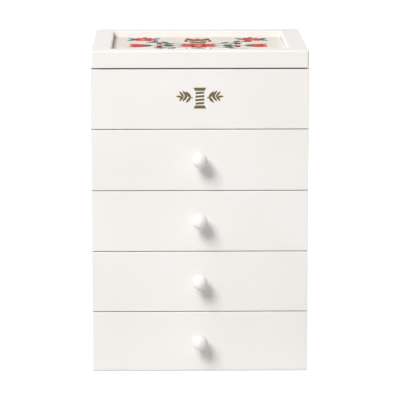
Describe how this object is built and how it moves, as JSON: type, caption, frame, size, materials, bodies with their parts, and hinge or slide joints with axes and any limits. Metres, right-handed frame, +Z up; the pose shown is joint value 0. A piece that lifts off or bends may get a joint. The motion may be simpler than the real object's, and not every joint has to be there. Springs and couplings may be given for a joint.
{
  "type": "thread drawer box",
  "caption": "Painted wooden table-top cabinet with a column of pull-out drawers, ball knobs and a hinged lid that frames stretched embroidered linen over an open compartment.",
  "frame": {"origin": "middle of the cabinet's underside, on the table", "axes": "+Z up, -Y towards the user, where the drawers pull out, +X to the right seen from the front"},
  "size_m": [0.28, 0.287, 0.422],
  "materials": {
    "white_paint": "satin white paint on wood board",
    "knob_paint": "semi-gloss white paint on turned wood",
    "pale_wood": "bare pale wood, sanded",
    "linen": "cream linen with raised embroidery",
    "grey_board": "plain mounting board",
    "brass": "satin brass",
    "steel": "zinc-plated screw",
    "felt": "self-adhesive felt dots"
  },
  "bodies": {
    "cabinet": {"back_panel": "white_paint", "base_panel": "pale_wood", "compartment_floor": "pale_wood", "compartment_front": "white_paint", "hinge_body_screws": "brass", "left_hinge_body_leaf": "brass", "left_hinge_pin": "brass", "left_side": "white_paint", "lid_bumpers": "felt", "right_hinge_body_leaf": "brass", "right_hinge_pin": "brass", "right_side": "white_paint", "shelf_1": "pale_wood", "shelf_2": "pale_wood", "shelf_3": "pale_wood"},
    "drawer_1": {"drawer_1_back": "pale_wood", "drawer_1_bottom": "pale_wood", "drawer_1_dividers": "pale_wood", "drawer_1_front": "white_paint", "drawer_1_knob": "knob_paint", "drawer_1_knob_screw": "steel", "drawer_1_left_side": "pale_wood", "drawer_1_right_side": "pale_wood"},
    "drawer_2": {"drawer_2_back": "pale_wood", "drawer_2_bottom": "pale_wood", "drawer_2_dividers": "pale_wood", "drawer_2_front": "white_paint", "drawer_2_knob": "knob_paint", "drawer_2_knob_screw": "steel", "drawer_2_left_side": "pale_wood", "drawer_2_right_side": "pale_wood"},
    "drawer_3": {"drawer_3_back": "pale_wood", "drawer_3_bottom": "pale_wood", "drawer_3_dividers": "pale_wood", "drawer_3_front": "white_paint", "drawer_3_knob": "knob_paint", "drawer_3_knob_screw": "steel", "drawer_3_left_side": "pale_wood", "drawer_3_right_side": "pale_wood"},
    "drawer_4": {"drawer_4_back": "pale_wood", "drawer_4_bottom": "pale_wood", "drawer_4_dividers": "pale_wood", "drawer_4_front": "white_paint", "drawer_4_knob": "knob_paint", "drawer_4_knob_screw": "steel", "drawer_4_left_side": "pale_wood", "drawer_4_right_side": "pale_wood"},
    "lid": {"embroidered_linen": "linen", "embroidery_board": "grey_board", "hinge_lid_screws": "brass", "left_hinge_lid_leaf": "brass", "lid_back_rail": "white_paint", "lid_front_rail": "white_paint", "lid_left_stile": "white_paint", "lid_panel": "white_paint", "lid_right_stile": "white_paint", "right_hinge_lid_leaf": "brass"}
  },
  "joints": [
    {"name": "lid_hinge", "type": "hinge", "parent": "cabinet", "child": "lid", "pos_m": [0, 0.12975, 0.399], "axis": [-1, 0, 0], "range_deg": [0, 100]},
    {"name": "drawer_1_slide", "type": "slide", "parent": "cabinet", "child": "drawer_1", "axis": [0, -1, 0], "range_m": [0, 0.19]},
    {"name": "drawer_2_slide", "type": "slide", "parent": "cabinet", "child": "drawer_2", "axis": [0, -1, 0], "range_m": [0, 0.19]},
    {"name": "drawer_3_slide", "type": "slide", "parent": "cabinet", "child": "drawer_3", "axis": [0, -1, 0], "range_m": [0, 0.19]},
    {"name": "drawer_4_slide", "type": "slide", "parent": "cabinet", "child": "drawer_4", "axis": [0, -1, 0], "range_m": [0, 0.19]}
  ]
}
